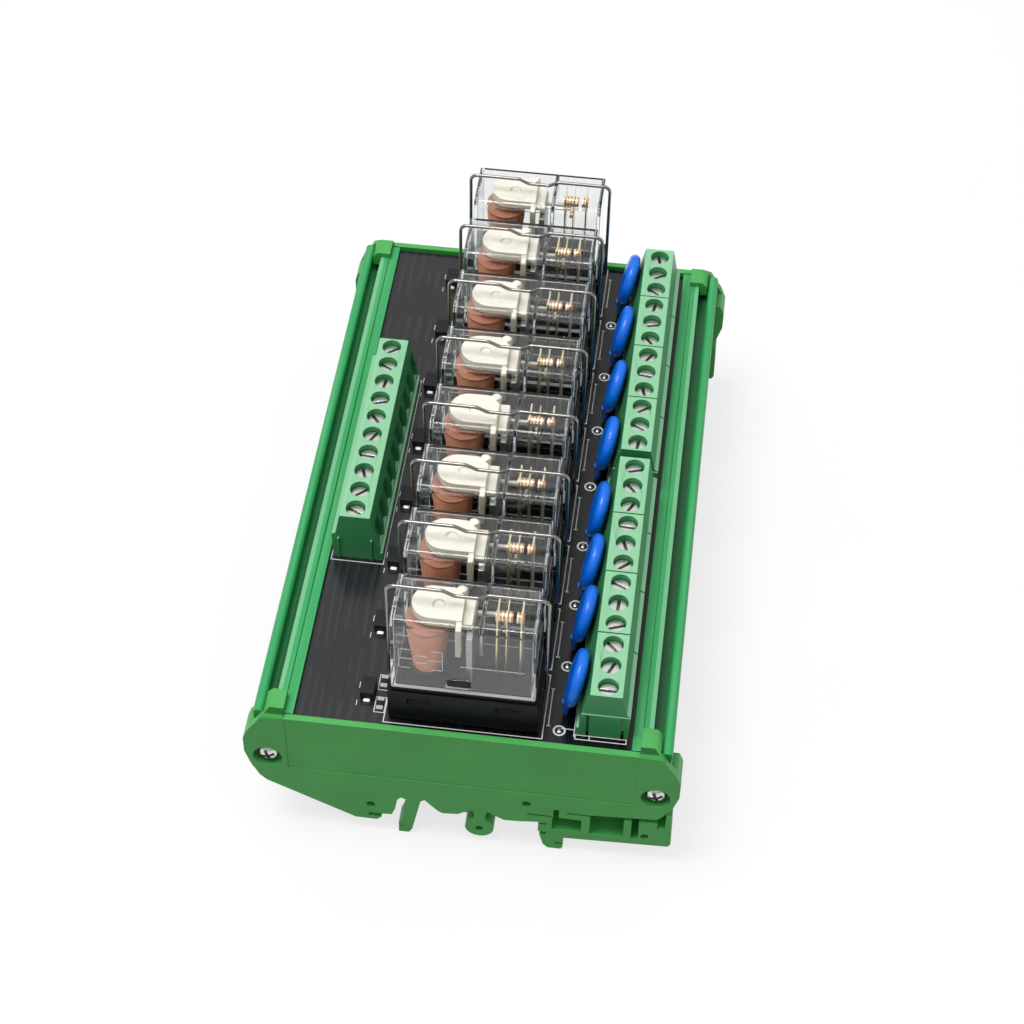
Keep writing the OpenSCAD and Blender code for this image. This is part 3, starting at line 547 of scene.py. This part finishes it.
SMOOTH_BELOW = math.radians(50)
shade_tree = geometry_tree("shade_by_angle")
socket_in(shade_tree, "Geometry", "NodeSocketGeometry")
socket_in(shade_tree, "Angle", "NodeSocketFloat", SMOOTH_BELOW)
shade_tree.interface.new_socket("Geometry", in_out="OUTPUT", socket_type="NodeSocketGeometry")
group_in = shade_tree.nodes.new("NodeGroupInput")
group_out = shade_tree.nodes.new("NodeGroupOutput")
edge_angle = step_node(shade_tree, "GeometryNodeInputMeshEdgeAngle", {}, {})
sharp = step_node(shade_tree, "FunctionNodeCompare", {"data_type": "FLOAT", "operation": "GREATER_THAN"},
                  {0: edge_angle.outputs[0], 1: group_in.outputs["Angle"]})
smooth_faces = step_node(shade_tree, "GeometryNodeSetShadeSmooth", {"domain": "FACE"},
                         {"Geometry": group_in.outputs["Geometry"], "Shade Smooth": True})
sharp_edges = step_node(shade_tree, "GeometryNodeSetShadeSmooth", {"domain": "EDGE"},
                        {"Geometry": smooth_faces.outputs[0], "Selection": sharp.outputs[0],
                         "Shade Smooth": False})
shade_tree.links.new(sharp_edges.outputs[0], group_out.inputs[0])


# %% Finish one node
WELD_REACH = 0.002 * MM
FLAT_BELOW, BEVEL_ABOVE = math.radians(0.6), math.radians(35)


def dress(name, finish, edge=0.0, whole_faces=True):
    """Gives a CAD node its finish and rounds its edges by `edge` millimetres."""
    node = nodes[name]
    if not node.data.materials:
        node.data.materials.append(None)
    for slot in node.material_slots:
        slot.material = finish.material
    weld = node.modifiers.new("weld", "WELD")
    weld.merge_threshold = WELD_REACH
    if whole_faces:
        flat = node.modifiers.new("flat_faces", "DECIMATE")
        flat.decimate_type = "DISSOLVE"
        flat.angle_limit = FLAT_BELOW
    if edge:
        bevel = node.modifiers.new("edges", "BEVEL")
        bevel.width = edge * MM
        bevel.segments = 2
        bevel.limit_method = "ANGLE"
        bevel.angle_limit = BEVEL_ABOVE
        bevel.use_clamp_overlap = False
        bevel.miter_outer = "MITER_ARC"
    shade = node.modifiers.new("shade", "NODES")
    shade.node_group = shade_tree
    weight = node.modifiers.new("flat_shading", "WEIGHTED_NORMAL")
    weight.keep_sharp = True


# Name, finish and how far the edges are rounded
numbered = [("relay_socket", socket_black, 0.25), ("relay_cover", clear, 0.22),
            ("relay_armature", ivory, 0.2), ("moving_contact", contact_gold, 0.0),
            ("retaining_clip", clip_steel, 0.0)]
for stem, finish, edge in numbered:
    for i in range(1, RELAYS + 1):
        dress(f"{stem}_{i}", finish, edge)
single = [("carrier_profile", carrier_green, 0.15), ("end_plate_front", plate_green, 0.0),
          ("end_plate_rear", plate_green, 0.0), ("end_plate_screws", plate_steel, 0.0),
          ("circuit_board", board, 0.1), ("relay_bases", base_black, 0.12), ("relay_yokes", yoke_iron, 0.12),
          ("coil_bobbins", bobbin, 0.12), ("fixed_contacts", contact_gold, 0.0),
          ("output_blocks_near", terminal_green, 0.1), ("output_blocks_far", terminal_green, 0.1),
          ("input_block", terminal_green, 0.1), ("terminal_screws", screw_steel, 0.06),
          ("terminal_clamps", yoke_iron, 0.0), ("varistors", blue, 0.0), ("diodes", chip_black, 0.12),
          ("chip_parts", chip_black, 0.06)]
for name, finish, edge in single:
    dress(name, finish, edge, whole_faces=not name.startswith(("end_plate", "output", "input")))
print("dressed", len(numbered) * RELAYS + len(single), "nodes")

# %% [markdown]
# ## Turns of wire on the coils
# A coil is one long enamelled wire. It could be a bump pattern on a cylinder, but then its outline stays
# smooth. Geometry Nodes wind it instead: two spirals, one along the tapered lower part and one along the
# straight rest, get a round section and stand on a line of eight points. Few sides are enough, as a turn is
# a quarter of a millimetre thick.


# %% A helper that turns a tree into a mesh
def grow(name, tree, values, finish):
    """Runs a tree on an empty object, keeps the result as a plain mesh and lets it ride on the module."""
    holder = bpy.data.objects.new(name + "_tree", bpy.data.meshes.new(name + "_empty"))
    bpy.context.scene.collection.objects.link(holder)
    modifier = holder.modifiers.new("grow", "NODES")
    modifier.node_group = tree
    known = {s.name: s.identifier for s in tree.interface.items_tree if s.in_out == "INPUT"}
    for key, value in values.items():
        modifier[known[key]] = value
    evaluated = holder.evaluated_get(bpy.context.evaluated_depsgraph_get())
    mesh = bpy.data.meshes.new_from_object(evaluated)
    holder.modifiers.remove(modifier)
    bpy.data.objects.remove(holder)
    mesh.name = name
    piece = bpy.data.objects.new(name, mesh)
    bpy.context.scene.collection.objects.link(piece)
    if not mesh.materials:
        mesh.materials.append(finish.material)
    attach(piece, BODY)
    print(name, "has", len(mesh.polygons), "faces")
    return piece


def new_tree(name, inputs):
    """A tree that makes geometry from nothing. Returns it with its named inputs and its output."""
    tree = geometry_tree(name)
    for key, (kind, value) in inputs.items():
        socket_in(tree, key, kind, value)
    tree.interface.new_socket("Geometry", in_out="OUTPUT", socket_type="NodeSocketGeometry")
    return tree, tree.nodes.new("NodeGroupInput").outputs, tree.nodes.new("NodeGroupOutput").inputs[0]


def close_tree(tree, geometry, finish, end, is_round=True):
    """Every tree ends in Realize Instances and Set Material. A round shape is also shaded smooth."""
    last = step_node(tree, "GeometryNodeRealizeInstances", {}, {"Geometry": geometry})
    if is_round:
        last = step_node(tree, "GeometryNodeSetShadeSmooth", {}, {"Geometry": last.outputs[0]})
    paint = step_node(tree, "GeometryNodeSetMaterial", {}, {"Geometry": last.outputs[0],
                                                            "Material": finish.material})
    tree.links.new(paint.outputs[0], end)


def points_line(tree, count, start, offset):
    return step_node(tree, "GeometryNodeMeshLine", {"mode": "OFFSET"},
                     {"Count": count, "Start Location": start, "Offset": offset}).outputs[0]


# %% The winding tree
FLOAT, WHOLE, POINT = "NodeSocketFloat", "NodeSocketInt", "NodeSocketVector"
HALF_WIRE = 0.125 * MM
wind_tree, given, wind_end = new_tree("wind_coils", {
    "Count": (WHOLE, RELAYS), "Start": (POINT, (0, 0, 0)), "Offset": (POINT, (0, relay_pitch, 0)),
    "Wire radius": (FLOAT, HALF_WIRE), "Low radius": (FLOAT, 2.87 * MM), "Radius": (FLOAT, 3.97 * MM),
    "Taper height": (FLOAT, 10.0 * MM), "Rest height": (FLOAT, 1.65 * MM), "Taper turns": (FLOAT, 40.0),
    "Rest turns": (FLOAT, 7.0)})
taper = step_node(wind_tree, "GeometryNodeCurveSpiral", {}, {
    "Resolution": 26, "Rotations": given["Taper turns"], "Start Radius": given["Low radius"],
    "End Radius": given["Radius"], "Height": given["Taper height"]})
rest = step_node(wind_tree, "GeometryNodeCurveSpiral", {}, {
    "Resolution": 26, "Rotations": given["Rest turns"], "Start Radius": given["Radius"],
    "End Radius": given["Radius"], "Height": given["Rest height"]})
lift = step_node(wind_tree, "ShaderNodeCombineXYZ", {}, {"Z": given["Taper height"]})
raised = step_node(wind_tree, "GeometryNodeTransform", {}, {"Geometry": rest.outputs[0],
                                                            "Translation": lift.outputs[0]})
both = step_node(wind_tree, "GeometryNodeJoinGeometry", {}, {})
wind_tree.links.new(taper.outputs[0], both.inputs[0])
wind_tree.links.new(raised.outputs[0], both.inputs[0])
section = step_node(wind_tree, "GeometryNodeCurvePrimitiveCircle", {}, {"Resolution": 5,
                                                                       "Radius": given["Wire radius"]})
wound = step_node(wind_tree, "GeometryNodeCurveToMesh", {}, {"Curve": both.outputs[0],
                                                            "Profile Curve": section.outputs[0]})
posts = points_line(wind_tree, given["Count"], given["Start"], given["Offset"])
coils = step_node(wind_tree, "GeometryNodeInstanceOnPoints", {}, {"Points": posts,
                                                                  "Instance": wound.outputs[0]})
close_tree(wind_tree, coils.outputs[0], coil_copper, wind_end)

# %% Wind the coils
coil_low, coil_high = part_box("coil_windings")
coil_x = (coil_low.x + coil_high.x) / 2
coil_turns = grow("coil_turns", wind_tree, {"Start": (coil_x, relay_y, coil_low.z + HALF_WIRE)},
                  coil_copper)
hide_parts("coil_windings")

# %% [markdown]
# ## Solder pads and chip ends
# Beside each terminal block is a small test pad with a dome of solder, and the chips have bright metal
# ends. Both repeat along a line, so a tree puts one small shape on each point of a line.


# %% Pads
DOME_R, DOME_H = 0.62 * MM, 0.22 * MM


def domes(name, start, offset):
    """A row of flat domes of solder."""
    tree, named, end = new_tree(name, {
        "Count": (WHOLE, BLOCKS_IN_ROW), "Start": (POINT, start), "Offset": (POINT, offset),
        "Radius": (FLOAT, DOME_R), "Height": (FLOAT, DOME_H)})
    ball = step_node(tree, "GeometryNodeMeshUVSphere", {}, {"Segments": 16, "Rings": 8, "Radius": 1.0})
    size = step_node(tree, "ShaderNodeCombineXYZ", {}, {"X": named["Radius"], "Y": named["Radius"],
                                                        "Z": named["Height"]})
    squashed = step_node(tree, "GeometryNodeTransform", {}, {"Geometry": ball.outputs[0],
                                                             "Scale": size.outputs[0]})
    line = points_line(tree, named["Count"], named["Start"], named["Offset"])
    placed = step_node(tree, "GeometryNodeInstanceOnPoints", {}, {"Points": line,
                                                                  "Instance": squashed.outputs[0]})
    close_tree(tree, placed.outputs[0], solder, end)
    return grow(name, tree, {}, solder)


for name, (pad_x, pad_y, drift, pad_pitch) in zip(("test_pads_near", "test_pads_far"), PAD_ROWS):
    domes(name, (pad_x * MM, pad_y * MM, TOP), (drift * MM, pad_pitch * MM, 0))

# %% End caps
CHIP_MIDDLE = -16.3 * MM
CAP_LENGTH, CAP_REACH, CAP_WIDTH, CAP_HEIGHT = 0.8 * MM, 1.0 * MM, 1.29 * MM, 0.59 * MM


def chip_caps(name, y):
    """Soldered ends on a row of chips: pairs of blocks a hair larger than the chip, one for each relay."""
    start = (CHIP_MIDDLE, relay_y + y, TOP + CAP_HEIGHT / 2)
    tree, named, end = new_tree(name, {
        "Count": (WHOLE, RELAYS), "Start": (POINT, start), "Offset": (POINT, (0, relay_pitch, 0)),
        "Cap": (FLOAT, CAP_LENGTH), "Half length": (FLOAT, CAP_REACH), "Width": (FLOAT, CAP_WIDTH),
        "Height": (FLOAT, CAP_HEIGHT)})
    size = step_node(tree, "ShaderNodeCombineXYZ", {}, {"X": named["Width"], "Y": named["Cap"],
                                                        "Z": named["Height"]})
    block = step_node(tree, "GeometryNodeMeshCube", {}, {"Size": size.outputs[0]})
    pair = step_node(tree, "GeometryNodeJoinGeometry", {}, {})
    for side in (-1, 1):
        reach = step_node(tree, "ShaderNodeMath", {"operation": "MULTIPLY"},
                          {0: named["Half length"], 1: side})
        shift = step_node(tree, "ShaderNodeCombineXYZ", {}, {"Y": reach.outputs[0]})
        moved = step_node(tree, "GeometryNodeTransform", {}, {"Geometry": block.outputs[0],
                                                              "Translation": shift.outputs[0]})
        tree.links.new(moved.outputs[0], pair.inputs[0])
    line = points_line(tree, named["Count"], named["Start"], named["Offset"])
    placed = step_node(tree, "GeometryNodeInstanceOnPoints", {}, {"Points": line,
                                                                  "Instance": pair.outputs[0]})
    close_tree(tree, placed.outputs[0], solder, end, is_round=False)
    return grow(name, tree, {}, solder)


for name, chip_y in (("far_chip_ends", 1.6 * MM), ("near_chip_ends", -3.7 * MM)):
    chip_caps(name, chip_y)

# %% [markdown]
# ## Ink on the covers
# The covers carry white ink: a plain wiring symbol of a coil in a frame, and a rule beside it. The strokes
# are thin raised strips on the near face of each cover, built with bmesh, because ink lies on top of the
# plastic.

# %% Wiring symbol
COVER_FRONT = 6.3 * MM
INK_UP = 0.02 * MM
PEN = 0.2
LEFT_X, RIGHT_X, LOW_Z, HIGH_Z = -11.9, -3.8, 16.0, 21.4
MIDDLE_X, MIDDLE_Z = (LEFT_X + RIGHT_X) / 2, (LOW_Z + HIGH_Z) / 2
HALF_W, HALF_H, HOOK = 1.3, 1.0, 2
RULE_X, RULE_Z = (-0.4, 11.4), 17.8
# The two ends of each stroke, in millimetres from the relay's middle and the board's top
STROKES = [(LEFT_X, LOW_Z, LEFT_X + HOOK, LOW_Z), (LEFT_X, LOW_Z, LEFT_X, HIGH_Z),
           (LEFT_X, HIGH_Z, LEFT_X + HOOK, HIGH_Z),
           (RIGHT_X - HOOK, LOW_Z, RIGHT_X, LOW_Z), (RIGHT_X, LOW_Z, RIGHT_X, HIGH_Z),
           (RIGHT_X - HOOK, HIGH_Z, RIGHT_X, HIGH_Z), (LEFT_X, MIDDLE_Z, MIDDLE_X - HALF_W, MIDDLE_Z),
           (MIDDLE_X + HALF_W, MIDDLE_Z, RIGHT_X, MIDDLE_Z),
           (MIDDLE_X - HALF_W, MIDDLE_Z - HALF_H, MIDDLE_X + HALF_W, MIDDLE_Z - HALF_H),
           (MIDDLE_X - HALF_W, MIDDLE_Z + HALF_H, MIDDLE_X + HALF_W, MIDDLE_Z + HALF_H),
           (MIDDLE_X - HALF_W, MIDDLE_Z - HALF_H, MIDDLE_X - HALF_W, MIDDLE_Z + HALF_H),
           (MIDDLE_X + HALF_W, MIDDLE_Z - HALF_H, MIDDLE_X + HALF_W, MIDDLE_Z + HALF_H),
           (RULE_X[0], RULE_Z, RULE_X[1], RULE_Z)]


def stroke(mesh, x0, z0, x1, z1, y):
    """One straight ink line between two points of a cover's near face."""
    w = PEN / 2
    low = Vector((min(x0, x1) - w, 0, min(z0, z1) - w)) * MM
    high = Vector((max(x0, x1) + w, 0, max(z0, z1) + w)) * MM
    size = high - low
    centre = (low + high) / 2 + Vector((0, y - INK_UP / 2, TOP))
    place = Matrix.Translation(centre) @ Matrix.Diagonal((size.x, INK_UP, size.z, 1))
    bmesh.ops.create_cube(mesh, size=1, matrix=place)


ink_mesh = bmesh.new()
for i in range(RELAYS):
    front = relay_y + i * relay_pitch - COVER_FRONT
    for line in STROKES:
        stroke(ink_mesh, *line, front)
cover_ink_data = bpy.data.meshes.new("cover_ink")
ink_mesh.to_mesh(cover_ink_data)
ink_mesh.free()
cover_ink_data.materials.append(ink_white.material)
cover_ink = bpy.data.objects.new("cover_ink", cover_ink_data)
bpy.context.scene.collection.objects.link(cover_ink)
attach(cover_ink, BODY)
print("ink strokes:", RELAYS * len(STROKES))

# %% [markdown]
# ## Floor and light
# The photograph has a white ground with a soft shadow and even light from above. The world gives the even
# part, at a level where a colour renders about as it is written. A large lamp overhead adds a little
# direction, and the floor is lifted towards white only for the camera and for what mirrors or passes its
# light on.


# %% Floor
def seen_directly(made):
    """1 for camera rays, and for the rays that metal and glass send on."""
    return (made.add("ShaderNodeLightPath", {}, {}, "Is Camera Ray")
            .most(made.add("ShaderNodeLightPath", {}, {}, "Is Glossy Ray"))
            .most(made.add("ShaderNodeLightPath", {}, {}, "Is Transmission Ray")))


FLOOR_HALF, FLOOR_LIFT = 3, 0.74
floor_data = bpy.data.meshes.new("floor")
floor_data.from_pydata([(x * FLOOR_HALF, y * FLOOR_HALF, 0) for x, y in ((-1, -1), (1, -1), (1, 1), (-1, 1))],
                       [], [(0, 1, 2, 3)])
floor = bpy.data.objects.new("floor", floor_data)
bpy.context.scene.collection.objects.link(floor)
paper = Finish("floor_paper", Roughness=0.9, Specular_IOR_Level=0.1)
paper.set(Base_Color=paper.mix(paper.noise(40.0), colour(128, 128, 128), colour(132, 132, 132)))
paper.set(Emission_Color=(1.0, 1.0, 1.0, 1.0), Emission_Strength=seen_directly(paper) * FLOOR_LIFT)
floor_data.materials.append(paper.material)

# %% World and lamp
world = bpy.data.worlds.new("studio")
bpy.context.scene.world = world
world.use_nodes = True
background = world.node_tree.nodes["Background"]
path = world.node_tree.nodes.new("ShaderNodeLightPath")
# How strongly the world lights the module, and how bright its horizon is next to its top
WORLD_LEVEL = 0.85
HORIZON = 0.3
seen = Value(world.node_tree, path.outputs["Is Camera Ray"]).most(
    Value(world.node_tree, path.outputs["Is Transmission Ray"]))
mirrored = Value(world.node_tree, path.outputs["Is Glossy Ray"]) * (1 - seen)
sky = world.node_tree.nodes.new("ShaderNodeTexCoord")
split = world.node_tree.nodes.new("ShaderNodeSeparateXYZ")
world.node_tree.links.new(sky.outputs["Generated"], split.inputs[0])
height = Value(world.node_tree, split.outputs["Z"]).most(0)
level = height * (1 - HORIZON) + HORIZON
lit = level * WORLD_LEVEL
strength = seen + mirrored * level + (1 - seen.most(mirrored)) * lit
plug(world.node_tree, background.inputs["Strength"], strength)
background.inputs["Color"].default_value = (1, 1, 1, 1)
lamp_data = bpy.data.lights.new("overhead", "AREA")
lamp_data.shape = "DISK"
lamp_data.size = 0.6
lamp_data.energy = 9.0
lamp = bpy.data.objects.new("overhead", lamp_data)
lamp.location = (-0.3, -0.1, 1.15)
lamp.rotation_euler = (Vector((0, 0, 0)) - lamp.location).to_track_quat("-Z", "Y").to_euler()
bpy.context.scene.collection.objects.link(lamp)
print("lamp", lamp_data.energy, "W, world", WORLD_LEVEL)
